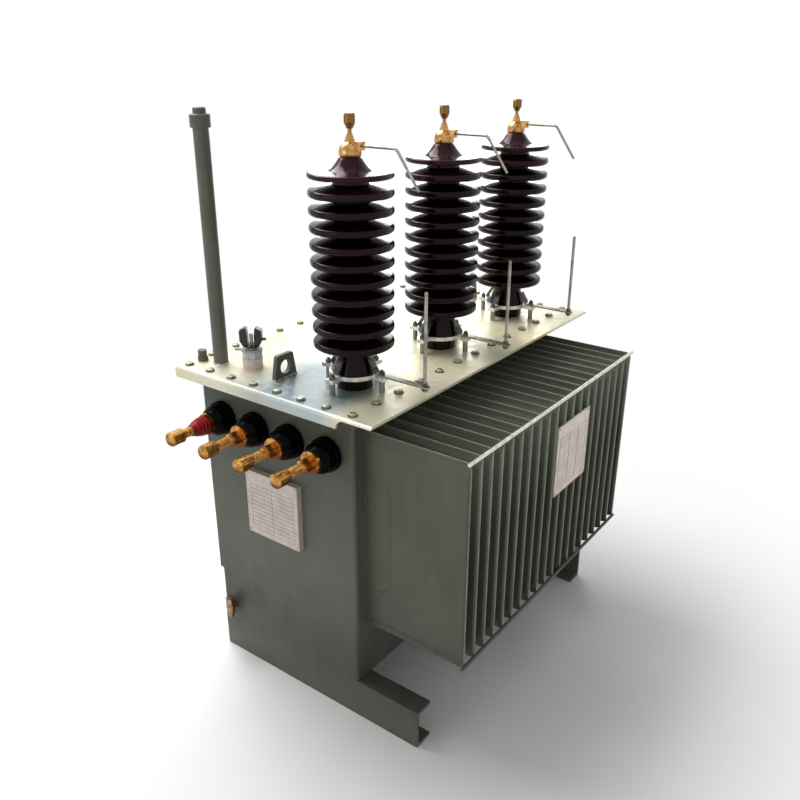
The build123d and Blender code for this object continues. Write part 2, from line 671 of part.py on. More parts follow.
def tap_changer():
    place = Pos(-BODY_END + TAP_X, BODY_BACK - TAP_Y, COVER_TOP)
    turn = Rot(0, 0, TAP_HANDLE_TURN)
    plate_z = TAP_BASE_HEIGHT + TAP_NUT_HEIGHT
    base = stack(
        (TAP_BASE_DIAMETER / 2, TAP_BASE_HEIGHT),
        (TAP_BOSS_DIAMETER / 2, TAP_NUT_HEIGHT),
        (TAP_PLATE_DIAMETER / 2, TAP_PLATE_HEIGHT),
        (TAP_BOSS_DIAMETER / 2, TAP_BOSS_HEIGHT),
        (TAP_POST_DIAMETER / 2, TAP_POST_HEIGHT),
    )
    base += nut(TAP_NUT_DIAMETER / 2, TAP_NUT_HEIGHT, TAP_BASE_HEIGHT)
    half = TAP_POINTER_WIDTH / 2
    base += turn * block(-TAP_POINTER_REACH, 0, -half, half, plate_z, plate_z + TAP_PLATE_HEIGHT)
    save(place * base, "tap_changer_base")
    hub = Pos(0, 0, TAP_HUB_HEIGHT / 2) * Cylinder(TAP_HANDLE_FOOT / 2, TAP_HUB_HEIGHT)
    lobe = tap_handle_lobe()
    stub = Rot(0, 90, 0) * Cylinder(TAP_STUB_DIAMETER / 2, TAP_STUB_LENGTH)
    stub = Pos((TAP_HANDLE_WIDTH + TAP_STUB_LENGTH) / 2, 0, TAP_STUB_HEIGHT) * stub
    handle = hub + lobe + stub + Rot(0, 0, 180) * lobe
    handle -= Cylinder(TAP_POST_DIAMETER / 2 + FIT_GAP, 2 * TAP_HANDLE_HEIGHT)
    save(place * turn * Pos(0, 0, TAP_BASE_TOP + FIT_GAP) * handle, "tap_changer_handle")


def lifting_lug(side):
    outline = Polyline(
        (-LUG_BASE / 2, 0),
        (LUG_BASE / 2, 0),
        (LUG_TOP / 2, LUG_HEIGHT),
        (-LUG_TOP / 2, LUG_HEIGHT),
        close=True,
    )
    plate = make_face(outline)
    plate = fillet(plate.vertices().group_by(Axis.Y)[-1], LUG_ROUND)
    plate -= Pos(0, LUG_HOLE_HEIGHT) * Circle(LUG_HOLE_DIAMETER / 2)
    lug = extrude(Plane.XZ * plate, LUG_THICKNESS / 2, both=True)
    x = side * (BODY_END - LUG_INSET - LUG_BASE / 2)
    return Pos(x, BODY_BACK - LUG_Y, COVER_TOP) * lug


def front_nameplate():
    """A shallow pan on the end wall that holds the plate clear of it."""
    pan = Box(FRONT_PLATE_STANDOFF, FRONT_PLATE_WIDTH, FRONT_PLATE_HEIGHT)
    hollow_width = FRONT_PLATE_WIDTH - 2 * PLATE_THICKNESS
    hollow = Box(FRONT_PLATE_STANDOFF, hollow_width, FRONT_PLATE_HEIGHT - 2 * PLATE_THICKNESS)
    pan -= Pos(PLATE_THICKNESS, 0, 0) * hollow
    x = -BODY_END - FRONT_PLATE_STANDOFF / 2
    return Pos(x, BODY_FRONT + FRONT_PLATE_Y, COVER_TOP - FRONT_PLATE_DROP) * pan


def fin_nameplate():
    """A flat plate across the fin tips."""
    plate = Box(FIN_PLATE_WIDTH, PLATE_THICKNESS, FIN_PLATE_HEIGHT)
    return Pos(FIN_PLATE_X, FIN_TIP_Y - PLATE_THICKNESS / 2, FIN_TOP - FIN_PLATE_DROP) * plate


def drain_valve():
    """A small upright cock on a stub of pipe, with a spout below and a hexagon plug on top."""
    body = stack((DRAIN_SPOUT_RADIUS, DRAIN_SPOUT_HEIGHT), (DRAIN_BODY_RADIUS, DRAIN_BODY_HEIGHT))
    body += nut(DRAIN_PLUG_RADIUS, DRAIN_PLUG_HEIGHT, DRAIN_SPOUT_HEIGHT + DRAIN_BODY_HEIGHT)
    body = Pos(-DRAIN_PIPE_LENGTH, 0, -DRAIN_SPOUT_HEIGHT - DRAIN_BODY_HEIGHT / 2) * body
    pipe = out_of_end_wall(stack((DRAIN_PIPE_RADIUS, DRAIN_PIPE_LENGTH)), 0, 0, 0)
    return Pos(-TANK_LENGTH / 2, TANK_BACK - DRAIN_Y, SKID_HEIGHT + DRAIN_HEIGHT) * (pipe + body)


def thermometer_pocket():
    pocket = stack((POCKET_DIAMETER / 2, POCKET_HEIGHT)) + nut(POCKET_NUT_DIAMETER / 2, POCKET_NUT_HEIGHT)
    return Pos(-BODY_END + POCKET_X, BODY_BACK - POCKET_Y, COVER_TOP) * pocket


save(skid(), "front_skid")
save(skid().mirror(Plane.YZ), "rear_skid")
tank()
save(rim_ring(0, RIM_THICKNESS, BODY_TOP), "tank_rim")
save(rim_ring(GASKET_INSET, GASKET_THICKNESS, RIM_TOP), "cover_gasket")
save(cover(), "cover_plate")
radiator()
high_voltage_side()
low_voltage_side()
filler()
tap_changer()
save(lifting_lug(-1), "front_lifting_lug")
save(lifting_lug(1), "rear_lifting_lug")
save(thermometer_pocket(), "thermometer_pocket")
save(front_nameplate(), "front_nameplate")
save(fin_nameplate(), "fin_nameplate")
save(drain_valve(), "drain_valve")
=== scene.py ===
import json
import math
import bmesh
import bpy
from mathutils import Matrix, Vector


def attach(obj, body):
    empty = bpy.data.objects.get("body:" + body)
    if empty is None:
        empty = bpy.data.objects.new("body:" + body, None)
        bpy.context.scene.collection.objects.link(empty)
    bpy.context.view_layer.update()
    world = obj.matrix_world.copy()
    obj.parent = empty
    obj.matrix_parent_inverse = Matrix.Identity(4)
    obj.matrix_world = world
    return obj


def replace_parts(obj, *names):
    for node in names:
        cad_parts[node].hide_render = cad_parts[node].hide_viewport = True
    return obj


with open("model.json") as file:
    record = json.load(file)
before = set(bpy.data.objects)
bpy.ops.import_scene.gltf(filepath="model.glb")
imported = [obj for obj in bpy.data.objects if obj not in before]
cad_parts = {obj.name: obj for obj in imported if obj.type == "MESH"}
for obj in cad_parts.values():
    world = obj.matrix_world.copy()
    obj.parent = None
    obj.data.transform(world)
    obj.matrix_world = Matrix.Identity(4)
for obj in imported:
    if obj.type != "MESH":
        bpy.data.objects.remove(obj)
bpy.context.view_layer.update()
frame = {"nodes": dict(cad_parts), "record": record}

MM = 0.001
TANK, HANDLE = "tank", "tap_handle"

# Places of the transformer, in mm, as the CAD model has them
COVER_TOP, RIM_UNDER = 798, 780
BODY_X, BODY_FRONT, BODY_BACK = 423, -143, 312
SKIRT_X, SKIRT_FRONT, SKIRT_BACK, SKIRT_TOP = 418, -138, 307, 242
FIN_COUNT, FIN_PITCH, FIN_BANK_X, FIN_HALF, FIN_SEAM_HALF = 20, 40.8, 7.5, 6, 1.5
FIN_FOOT, FIN_HEAD, FIN_TIP = 248, 735, -399
BUSHING_X, BUSHING_Y = (-322, 0, 322), -67
CLAMP_LEG_REACH, CLAMP_UNDER, CLAMP_TOP = 73, 825, 834
HORN_ROD_REACH, HORN_ARM_UNDER, HORN_ARM_TOP = 181, 834, 838
LV_Y, LV_Z, LV_STUD_START, LV_STUD_LENGTH, SLEEVE_START = (242, 137, 32, -73), 677, -501, 44, -479
PIPE_AT, PIPE_RADIUS = (-400, 263), 16.5
TAP_AT, TAP_TURN, TAP_HANDLE_FOOT = (-373, 188), math.radians(-54), 845.3
LUG_X, LUG_Y, LUG_HALF = 378.5, 85, 33
FRONT_PLATE, FRONT_PLATE_SIZE = (-437, 90, 489), (160, 164)
FIN_PLATE, FIN_PLATE_SIZE = (74, -400.5, 581), (165, 179)

# Where a finish changes colour, in mm: by painted shade, light and reflection, by tarnish and by tone
RIM_SHADE_DEEPEST, RIM_SHADE_GONE = 760, 400
LOW_DARK_START, LOW_DARK_FULL, LOW_DARK_FOOT, LOW_DARK_FOOT_FULL = 360, 180, 20, 110
INNER_FINS_START, INNER_FINS_FULL = -370, -362
FIN_TOP_LIGHT_DEPTH, FIN_TOP_LIGHT_TOP = 220, 10
REFLECTION_X_START, REFLECTION_X_FULL, REFLECTION_BACK_START, REFLECTION_BACK_FULL = -150, -300, 190, 70
REFLECTION_FRONT_START, REFLECTION_FRONT_FULL = -150, -100
SKY_REFLECTION_START, SKY_REFLECTION_FULL = 1196, 1206
LV_SHADE_START, LV_SHADE_FULL = 684, 668
HV_CLEAN, HV_TARNISHED = 1285, 1325
COCK_DARK_START, COCK_DARK_FULL = 150, 100
SLEEVE_SHADE_START, SLEEVE_SHADE_FULL = 690, 660
TAP_CUP_TOP, TAP_NUT_TOP, TAP_PLATE_TOP = 820, 836, 841
# The width of a crystal in the cover's zinc, in mm
SPANGLE_WIDTH = 13
# How strongly the darkening low on the walls, the painted light on the inner fins' tops and the crystals
# show, from 0 to 1
LOW_DARK_SHARE, FIN_TOP_LIGHT_SHARE, SPANGLE_SHARE = 0.72, 0.7, 0.3


# ---------------------------------------------------------------- finishes

# Settings that many nodes share. A Mix node's two colours are its inputs 6 and 7, its mixed one is output 2.
COLOURS, MIXED = {"data_type": "RGBA"}, 2
PRODUCT, LARGER, CLAMPED = {"operation": "MULTIPLY"}, {"operation": "MAXIMUM"}, {"clamp": True}
# Nearly all of a noise's values lie between these two
NOISE_LOW, NOISE_HIGH = 0.32, 0.68


def linear(code):
    """The linear colour of an sRGB hex value."""
    parts = [int(code[i:i + 2], 16) / 255 for i in (1, 3, 5)]
    return tuple(c / 12.92 if c <= 0.04045 else ((c + 0.055) / 1.055) ** 2.4 for c in parts) + (1.0,)


def add(tree, kind, settings=None, inputs=None, out=0):
    """Adds a node with its settings and its inputs, where an input is a value or another node's output, and
    gives the output that is asked for."""
    node = tree.nodes.new("ShaderNode" + kind)
    for name, value in (settings or {}).items():
        setattr(node, name, value)
    for key, value in (inputs or {}).items():
        if isinstance(value, bpy.types.NodeSocket):
            tree.links.new(value, node.inputs[key])
        else:
            node.inputs[key].default_value = value
    return node.outputs[out] if node.outputs else None


def finish_of(name, **values):
    """A new material with a Principled shader, and its tree, shader and place on the object in metres."""
    material = bpy.data.materials.new(name)
    material.use_nodes = True
    tree = material.node_tree
    tree.nodes.clear()
    surface = add(tree, "BsdfPrincipled", None, {k.replace("_", " "): v for k, v in values.items()})
    add(tree, "OutputMaterial", None, {"Surface": surface})
    return material, tree, surface.node, add(tree, "TexCoord", out="Object")


def dress(tree, shader, colour, rough, relief, depth_mm):
    """Gives the shader its colour, its roughness where that varies, and a relief of that depth."""
    skin = add(tree, "Bump", None, {"Height": relief, "Distance": depth_mm * MM})
    for output, name in ((colour, "Base Color"), (rough, "Roughness"), (skin, "Normal")):
        if output is not None:
            tree.links.new(output, shader.inputs[name])


def speckle(tree, place, size_mm, low=0.0, high=1.0, detail=3.0, stretch=None):
    """A mask of soft patches about size_mm wide, from low to high."""
    if stretch:
        place = add(tree, "Mapping", {"vector_type": "TEXTURE"}, {"Vector": place, "Scale": stretch})
    noise = add(tree, "TexNoise", None, {
        "Vector": place, "Scale": 1 / (size_mm * MM), "Detail": detail}, "Fac")
    return add(tree, "MapRange", CLAMPED, {
        "Value": noise, "From Min": NOISE_LOW, "From Max": NOISE_HIGH, "To Min": low, "To Max": high})


def along(tree, place, axis, start_mm, end_mm):
    """A mask that goes from 0 at start_mm to 1 at end_mm along one axis of the object."""
    distance = add(tree, "SeparateXYZ", None, {0: place}, axis)
    return add(tree, "MapRange", CLAMPED, {
        "Value": distance, "From Min": start_mm * MM, "From Max": end_mm * MM})


def sprayed_enamel(name, deep, light, dust_and_lit_tone, dust_share=0.25, rim_shade_share=0.0):
    """Alkyd enamel sprayed on steel: satin, slightly uneven in tone, with orange peel, settled dust, painted
    shade under the rim that turns paler down the walls, and a darker band low on the walls that eases off at
    the foot."""
    material, tree, shader, place = finish_of(name, IOR=1.5, Specular_IOR_Level=0.35)
    tone = add(tree, "Mix", COLOURS, {
        0: speckle(tree, place, 190), 6: linear(deep), 7: linear(light)}, MIXED)
    # Painted shade under the rim: below it the walls are painted paler, towards the dust colour
    rim_shade_lift = add(tree, "Math", PRODUCT, {
        0: along(tree, place, "Z", RIM_SHADE_DEEPEST, RIM_SHADE_GONE), 1: rim_shade_share})
    rim_shaded = add(tree, "Mix", COLOURS, {0: rim_shade_lift, 6: tone, 7: linear(dust_and_lit_tone)}, MIXED)
    # Darker low on the walls, easing off again towards the foot
    near_foot = add(tree, "Math", PRODUCT, {
        0: along(tree, place, "Z", LOW_DARK_START, LOW_DARK_FULL),
        1: along(tree, place, "Z", LOW_DARK_FOOT, LOW_DARK_FOOT_FULL)})
    darkening = add(tree, "Math", PRODUCT, {0: near_foot, 1: LOW_DARK_SHARE})
    darkened_low = add(tree, "Mix", COLOURS, {0: darkening, 6: rim_shaded, 7: linear("#3d3e3a")}, MIXED)
    # Dust lies in patches, and rain has drawn them out downwards
    runs = speckle(tree, place, 26, detail=5.0, stretch=(1.0, 1.0, 7.0))
    settled = add(tree, "Math", PRODUCT, {0: speckle(tree, place, 70, low=0.2, detail=6.0), 1: runs})
    dusty = add(tree, "Math", PRODUCT, {0: settled, 1: dust_share})
    colour = add(tree, "Mix", COLOURS, {0: dusty, 6: darkened_low, 7: linear(dust_and_lit_tone)}, MIXED)
    # The real orange peel is about 1 mm wide; it is drawn at 2.4 mm so that it shows
    peel = speckle(tree, place, 2.4)
    dress(tree, shader, colour, speckle(tree, place, 40, low=0.38, high=0.55), peel, 0.05)
    return material, tree, shader, place, colour


def fin_enamel():
    """The tank's enamel on the pressed fins, with a painted highlight and rubbed paint along the welded top
    seams and the folded edges, and painted light on the upper parts of the inner fins.
    """
    material, tree, shader, place, colour = sprayed_enamel("fin_enamel", "#4b5042", "#545949", "#6b6f62")
    # Painted light: the upper parts of the inner fins are painted paler, as lit from above; the end fin is
    # not
    fin_top_light = add(tree, "Math", PRODUCT, {
        0: along(tree, place, "X", INNER_FINS_START, INNER_FINS_FULL),
        1: along(tree, place, "Z", FIN_HEAD - FIN_TOP_LIGHT_DEPTH, FIN_HEAD - FIN_TOP_LIGHT_TOP)})
    fin_top_lighting = add(tree, "Math", PRODUCT, {0: fin_top_light, 1: FIN_TOP_LIGHT_SHARE})
    fin_top_lit = add(tree, "Mix", COLOURS, {0: fin_top_lighting, 6: colour, 7: linear("#868b7c")}, MIXED)
    # Painted highlight and rubbed paint: the folded tips and the top seams are painted paler
    edges = add(tree, "Math", LARGER, {
        0: along(tree, place, "Y", FIN_TIP + 0.9, FIN_TIP + 0.3),
        1: along(tree, place, "Z", FIN_HEAD - 2, FIN_HEAD - 0.5)})
    edge_highlight_and_wear = add(tree, "Math", PRODUCT, {0: edges, 1: speckle(tree, place, 30, low=0.35, high=0.95)})
    edge_lit_and_worn = add(tree, "Mix", COLOURS, {0: edge_highlight_and_wear, 6: fin_top_lit, 7: linear("#99a08f")}, MIXED)
    tree.links.new(edge_lit_and_worn, shader.inputs["Base Color"])
    return material


def dipped_zinc():
    """Hot-dip galvanised sheet: large soft spangle, a cream bloom, a blue-grey patch of painted reflection
    and shade from the dark bushings, and a few tea-coloured stains."""
    material, tree, shader, place = finish_of("hot_dip_galvanised_sheet", Metallic=0.4)
    crystals = add(tree, "TexVoronoi", {"feature": "F1"}, {
        "Vector": place, "Scale": 1 / (SPANGLE_WIDTH * MM)}, "Color")
    grain = add(tree, "SeparateColor", None, {0: crystals})
    # Painted reflection and shade of the dark bushings: a blue-grey patch on the cover round the first
    # bushing
    strip = add(tree, "Math", PRODUCT, {
        0: along(tree, place, "Y", REFLECTION_BACK_START, REFLECTION_BACK_FULL),
        1: along(tree, place, "Y", REFLECTION_FRONT_START, REFLECTION_FRONT_FULL)})
    reflection_patch = add(tree, "Math", PRODUCT, {0: along(tree, place, "X", REFLECTION_X_START, REFLECTION_X_FULL), 1: strip})
    # In the painted reflection the folded lips are painted a paler grey than the top
    grey = add(tree, "Mix", COLOURS, {
        0: along(tree, place, "Z", COVER_TOP - 4, COVER_TOP - 1),
        6: linear("#bac8ca"), 7: linear("#76868e")}, MIXED)
    bloom = add(tree, "Mix", COLOURS, {
        0: speckle(tree, place, 150, low=0.35), 6: linear("#e9e8dc"), 7: linear("#ede2b2")}, MIXED)
    base = add(tree, "Mix", COLOURS, {0: reflection_patch, 6: bloom, 7: grey}, MIXED)
    spangle = add(tree, "Math", PRODUCT, {0: grain, 1: SPANGLE_SHARE})
    spangled = add(tree, "Mix", COLOURS, {0: spangle, 6: base, 7: linear("#bcc6c3")}, MIXED)
    stains = add(tree, "Math", PRODUCT, {
        0: speckle(tree, place, 48, detail=8.0), 1: speckle(tree, place, 170, high=0.4)})
    stained = add(tree, "Mix", COLOURS, {0: stains, 6: spangled, 7: linear("#c2b296")}, MIXED)
    rough = add(tree, "Math", {"operation": "MULTIPLY_ADD"}, {0: grain, 1: 0.14, 2: 0.32})
    dress(tree, shader, stained, rough, speckle(tree, place, 18), 0.08)
    return material


def plated_zinc(name, bright, dull, rough, patch_mm=9):
    """Zinc coated steel: silver-white with a duller bloom in patches and a lightly pitted skin."""
    material, tree, shader, place = finish_of(name, Metallic=1.0)
    colour = add(tree, "Mix", COLOURS, {
        0: speckle(tree, place, patch_mm, detail=5.0), 6: linear(bright), 7: linear(dull)}, MIXED)
    gloss = speckle(tree, place, 6, low=rough - 0.06, high=rough + 0.1)
    dress(tree, shader, colour, gloss, speckle(tree, place, 3), 0.05)
    return material


def clamp_finish():
    """Zinc plated clamp: a bright ring, with painted shade making the straps above it dark and dull and the
    legs below it grey.
    """
    material, tree, shader, place = finish_of("clamp_zinc_plate", Metallic=1.0)
    bright = add(tree, "Mix", COLOURS, {
        0: speckle(tree, place, 14), 6: linear("#e4e6e6"), 7: linear("#b6b9b8")}, MIXED)
    dull = add(tree, "Mix", COLOURS, {
        0: speckle(tree, place, 10, detail=5.0), 6: linear("#666864"), 7: linear("#2e302e")}, MIXED)
    # Painted shade: the straps above the ring are painted dark, the legs below it grey
    strap_shade = along(tree, place, "Z", CLAMP_TOP + 1, CLAMP_TOP + 6)
    upper = add(tree, "Mix", COLOURS, {0: strap_shade, 6: bright, 7: dull}, MIXED)
    leg_shade = along(tree, place, "Z", CLAMP_UNDER, CLAMP_UNDER - 3)
    colour = add(tree, "Mix", COLOURS, {0: leg_shade, 6: upper, 7: linear("#8b8e8c")}, MIXED)
    dress(tree, shader, colour, speckle(tree, place, 6, low=0.26, high=0.42), speckle(tree, place, 3), 0.05)
    return material


def turned_brass(name, gold, dark_tone, bright_mm, dark_mm):
    """Turned brass left outdoors: gold on one side of a height and darker brown on the other, with brown
    tarnish in patches.
    """
    material, tree, shader, place = finish_of(name, Metallic=1.0)
    # Darker on one side of a height: painted shade under the low voltage brass, a tarnished top on the
    # bushings' brass, a darker foot on the drain cock; tarnish also lies in patches
    dark_share = add(tree, "Math", LARGER, {
        0: along(tree, place, "Z", bright_mm, dark_mm), 1: speckle(tree, place, 12, high=0.8, detail=2.0)})
    colour = add(tree, "Mix", COLOURS, {0: dark_share, 6: linear(gold), 7: linear(dark_tone)}, MIXED)
    gloss = speckle(tree, place, 12, low=0.2, high=0.3, detail=0.0)
    dress(tree, shader, colour, gloss, speckle(tree, place, 5, detail=0.0), 0.012)
    return material


def brown_glaze():
    """Glazed porcelain: a glassy, nearly black brown coat with a faint plum cast where light grazes it, and a
    painted plum reflection of the sky on the top shed and cone.
    """
    material, tree, shader, place = finish_of(
        "brown_glazed_porcelain", IOR=1.5, Specular_IOR_Level=0.2, Specular_Tint=linear("#e6c4cc"))
    coat = add(tree, "Mix", COLOURS, {
        0: speckle(tree, place, 40), 6: linear("#0b0506"), 7: linear("#14090a")}, MIXED)
    # Painted reflection: the uppermost shed and the cone above it are painted a lighter plum, as the sky
    # reflected in them
    colour = add(tree, "Mix", COLOURS, {
        0: along(tree, place, "Z", SKY_REFLECTION_START, SKY_REFLECTION_FULL), 6: coat, 7: linear("#2b1519")}, MIXED)
    gloss = speckle(tree, place, 60, low=0.1, high=0.2)
    dress(tree, shader, colour, gloss, speckle(tree, place, 14, detail=1.0), 0.1)
    return material


def moulded(name, dark, light, rough, gloss=0.5):
    """Moulded plastic or rubber: even colour with a faint bloom and a soft skin."""
    material, tree, shader, place = finish_of(name, IOR=1.5, Specular_IOR_Level=gloss)
    colour = add(tree, "Mix", COLOURS, {
        0: speckle(tree, place, 12), 6: linear(dark), 7: linear(light)}, MIXED)
    varied = speckle(tree, place, 8, low=rough - 0.05, high=rough + 0.08)
    # The skin of a moulding is finer than 0.5 mm; it is drawn at 1.6 mm so that it shows
    dress(tree, shader, colour, varied, speckle(tree, place, 1.6), 0.04)
    return material, tree, shader, place, colour


def red_vinyl():
    """Red vinyl sleeve: bright on top, with painted shade on the underside in a dark mottled maroon."""
    material, tree, shader, place, colour = moulded("red_vinyl_sleeve", "#9a1620", "#96141e", 0.45, 0.2)
    # Painted shade: the underside is painted a dark mottled maroon
    darkening = add(tree, "Math", PRODUCT, {
        0: along(tree, place, "Z", SLEEVE_SHADE_START, SLEEVE_SHADE_FULL), 1: speckle(tree, place, 9, low=0.6)})
    darkened = add(tree, "Mix", COLOURS, {0: darkening, 6: colour, 7: linear("#26101a")}, MIXED)
    tree.links.new(darkened, shader.inputs["Base Color"])
    return material


def rolled_aluminium(name, light, dark):
    """Rolled aluminium plate gone dull outdoors: pale grey with a faint pink cast and fine rolling lines."""
    material, tree, shader, place = finish_of(name, Metallic=0.35, Roughness=0.55)
    colour = add(tree, "Mix", COLOURS, {
        0: speckle(tree, place, 24, detail=6.0), 6: linear(light), 7: linear(dark)}, MIXED)
    # Real rolling lines are well under 1 mm wide; they are drawn at 2 mm so that they show
    lines = speckle(tree, place, 2, detail=2.0, stretch=(1.0, 1.0, 14.0))
    dress(tree, shader, colour, None, lines, 0.03)
    return material


def tap_base_finish():
    """Tap changer fittings from the cover up: pink moulded cup, zinc nut, blue-grey plate, pinkish post."""
    material, tree, shader, place = finish_of("tap_changer_fittings")
    colour = linear("#e9dcd8")
    for top, above in ((TAP_CUP_TOP, "#d6dad6"), (TAP_NUT_TOP, "#a9b5be"), (TAP_PLATE_TOP, "#cdb9b6")):
        over = along(tree, place, "Z", top - 0.5, top + 0.5)
        colour = add(tree, "Mix", COLOURS, {0: over, 6: colour, 7: linear(above)}, MIXED)
    darkening = speckle(tree, place, 7, high=0.3, detail=5.0)
    darkened = add(tree, "Mix", COLOURS, {0: darkening, 6: colour, 7: linear("#7d7672")}, MIXED)
    dress(tree, shader, darkened, speckle(tree, place, 6, low=0.28, high=0.45), speckle(tree, place, 3), 0.04)
    return material


# Grey-green enamel, with painted shade under the rim on the tank's walls, and dustier on the cover's fittings
tank_enamel = sprayed_enamel("tank_enamel", "#42473b", "#4a4f42", "#6b6e62", 0.25, 0.42)[0]
fitting_enamel = sprayed_enamel("fitting_enamel", "#525549", "#5c6053", "#8b8e80", 0.45)[0]
zinc_sheet = dipped_zinc()
clamp_zinc = clamp_finish()
# Galvanised rod gone warm grey, a pale bar, cream-grey bolt heads, and washers and nuts tarnished and painted
# dark as shade
rod_zinc = plated_zinc("galvanised_rod", "#a9a69b", "#7f7c72", 0.4, 20)
bar_zinc = plated_zinc("pale_zinc_bar", "#e6e8de", "#b9bdb0", 0.5, 16)
bolt_zinc = plated_zinc("dull_zinc_bolt", "#bcbbac", "#868475", 0.42)
# Painted shade: the washers under the bolt heads and the nuts are painted dark, partly tarnish
tarnish_and_shade_zinc = plated_zinc("tarnished_and_shaded_zinc", "#77756a", "#4c4a42", 0.5)
# Brass on the wall bright on top with painted shade underneath, on the bushings bright below a tarnished top,
# and dusty and darker towards the foot on the drain cock
# Painted shade: the low voltage brass is painted dark brown on its underside
lv_brass = turned_brass("low_voltage_brass", "#ecb263", "#703c17", LV_SHADE_START, LV_SHADE_FULL)
hv_brass = turned_brass("high_voltage_brass", "#d6a568", "#7b5a34", HV_CLEAN, HV_TARNISHED)
cock_brass = turned_brass("dusty_brass_cock", "#b89c7c", "#75604c", COCK_DARK_START, COCK_DARK_FULL)
glaze = brown_glaze()
# Glossy black epoxy, dull black rubber, and a red sleeve and black handle between the two
black_epoxy = moulded("black_moulded_epoxy", "#020305", "#040509", 0.2, 0.045)[0]
rubber = moulded("black_nitrile_rubber", "#151514", "#20201e", 0.7)[0]
red_sleeve = red_vinyl()
bakelite = moulded("black_bakelite", "#0a0a0b", "#161618", 0.3)[0]
# Weathered plate on the wall, a lighter one on the fins, and the flat grey ink of their ruled tables
plate = rolled_aluminium("front_aluminium_plate", "#d2c7be", "#bbb2aa")
fin_plate = rolled_aluminium("fin_aluminium_plate", "#efe3d8", "#d8cdc4")
plate_ink = moulded("grey_plate_ink", "#6f6866", "#87807c", 0.6)[0]

SLOT_FINISHES = {
    "tank_paint": tank_enamel, "fitting_paint": fitting_enamel, "cover_zinc": zinc_sheet,
    "clamp_zinc": clamp_zinc, "horn_steel": rod_zinc, "brass": hv_brass, "porcelain": glaze,
    "lv_insulator": black_epoxy, "gasket": rubber, "sleeve": red_sleeve, "handle": bakelite,
    "nameplate": plate}
NODE_FINISHES = {
    "radiator_fins": fin_enamel(), "upper_fin_bar": bar_zinc, "tap_changer_base": tap_base_finish(),
    "drain_valve": cock_brass, "fin_nameplate": fin_plate}
NODE_FINISHES.update({f"lv_terminal_{k}": lv_brass for k in range(1, 5)})

for part in frame["record"]["subparts"]:
    for material_slot in frame["nodes"][part["node"]].material_slots:
        material_slot.material = NODE_FINISHES.get(part["node"], SLOT_FINISHES[part["material_slot"]])


# ---------------------------------------------------------------- pieces

def at(x, y, z, tilt=None):
    """The place of a fitting, in mm, with its own Z axis turned to tilt."""
    turn = Matrix()
    if tilt:
        turn = Vector((0, 0, 1)).rotation_difference(Vector(tilt)).to_matrix().to_4x4()
    return Matrix.Translation(Vector((x, y, z))) @ turn


def facing(centre, right, up):
    """The place of a plate, in mm, with X to its right, Y up it and Z out of it."""
    right, up = Vector(right), Vector(up)
    turn = Matrix((right, up, right.cross(up))).transposed().to_4x4()
    return Matrix.Translation(Vector(centre)) @ turn


def piece(name, form, material, body=TANK):
    """Makes one object of a form drawn in mm."""
    bmesh.ops.scale(form, vec=(MM, MM, MM), verts=form.verts)
    bmesh.ops.recalc_face_normals(form, faces=form.faces)
    mesh = bpy.data.meshes.new(name)
    form.to_mesh(mesh)
    form.free()
    mesh.set_sharp_from_angle(angle=math.radians(35))
    mesh.materials.append(material)
    made = bpy.data.objects.new(name, mesh)
    bpy.context.scene.collection.objects.link(made)
    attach(made, body)
    return made


def rings(form, place, sections, steps):
    """Skins a row of rings. A section is a radius and a height, each a number or a function of the angle.
    A radius of 0 closes an end."""
    rows = []
    for radius, height in sections:
        if radius == 0:
            rows.append([form.verts.new(place @ Vector((0, 0, height)))])
            continue
        row = []
        for i in range(steps):
            angle = 2 * math.pi * i / steps
            reach = radius(angle) if callable(radius) else radius
            lift = height(angle) if callable(height) else height
            point = Vector((reach * math.cos(angle), reach * math.sin(angle), lift))
            row.append(form.verts.new(place @ point))
        rows.append(row)
    for low, high in zip(rows, rows[1:]):
        for i in range(steps):
            j = (i + 1) % steps
            if len(low) == 1:
                form.faces.new((low[0], high[j], high[i]))
            elif len(high) == 1:
                form.faces.new((low[i], low[j], high[0]))
            else:
                form.faces.new((low[i], low[j], high[j], high[i]))


def hexagon(across_flats):
    """The radius of a hexagon at each angle."""
    def radius(angle):
        return across_flats / 2 / math.cos((angle + math.pi / 6) % (math.pi / 3) - math.pi / 6)
    return radius


def nut(form, place, across_flats, height):
    """A hexagon nut or bolt head with its corners turned off at 30 degrees."""
    outline = hexagon(across_flats)
    crown = across_flats * 0.47

    def shoulder(angle):
        return height - (outline(angle) - crown) * math.tan(math.pi / 6)
    sections = [(0, 0), (outline, 0), (outline, shoulder), (crown, height), (crown * 0.6, height),
                (0, height)]
    rings(form, place, sections, 36)


def washer(form, place, radius, thickness):
    """A plain washer with a slightly rounded edge."""
    edge = thickness * 0.25
    rings(form, place, [(0, 0), (radius - edge, 0), (radius, edge), (radius, thickness - edge),
                        (radius - edge, thickness), (0, thickness)], 32)


def thread(form, place, radius, pitch, length, steps=24):
    """The helical thread of a stud, with a tapered start and end."""
    depth = pitch * 0.6
    rows_per_turn = 6
    count = int(length / pitch * rows_per_turn)
    sections = []
    for k in range(count + 1):
        height = length * k / count
        ease = min(1.0, height / pitch, (length - height) / pitch)

        def reach(angle, height=height, ease=ease):
            phase = (height / pitch - angle / (2 * math.pi)) % 1.0
            return radius - depth * (1 - ease) - depth * ease * abs(2 * phase - 1)
        sections.append((reach, height))
    rings(form, place, [(0, 0)] + sections + [(0, length)], steps)


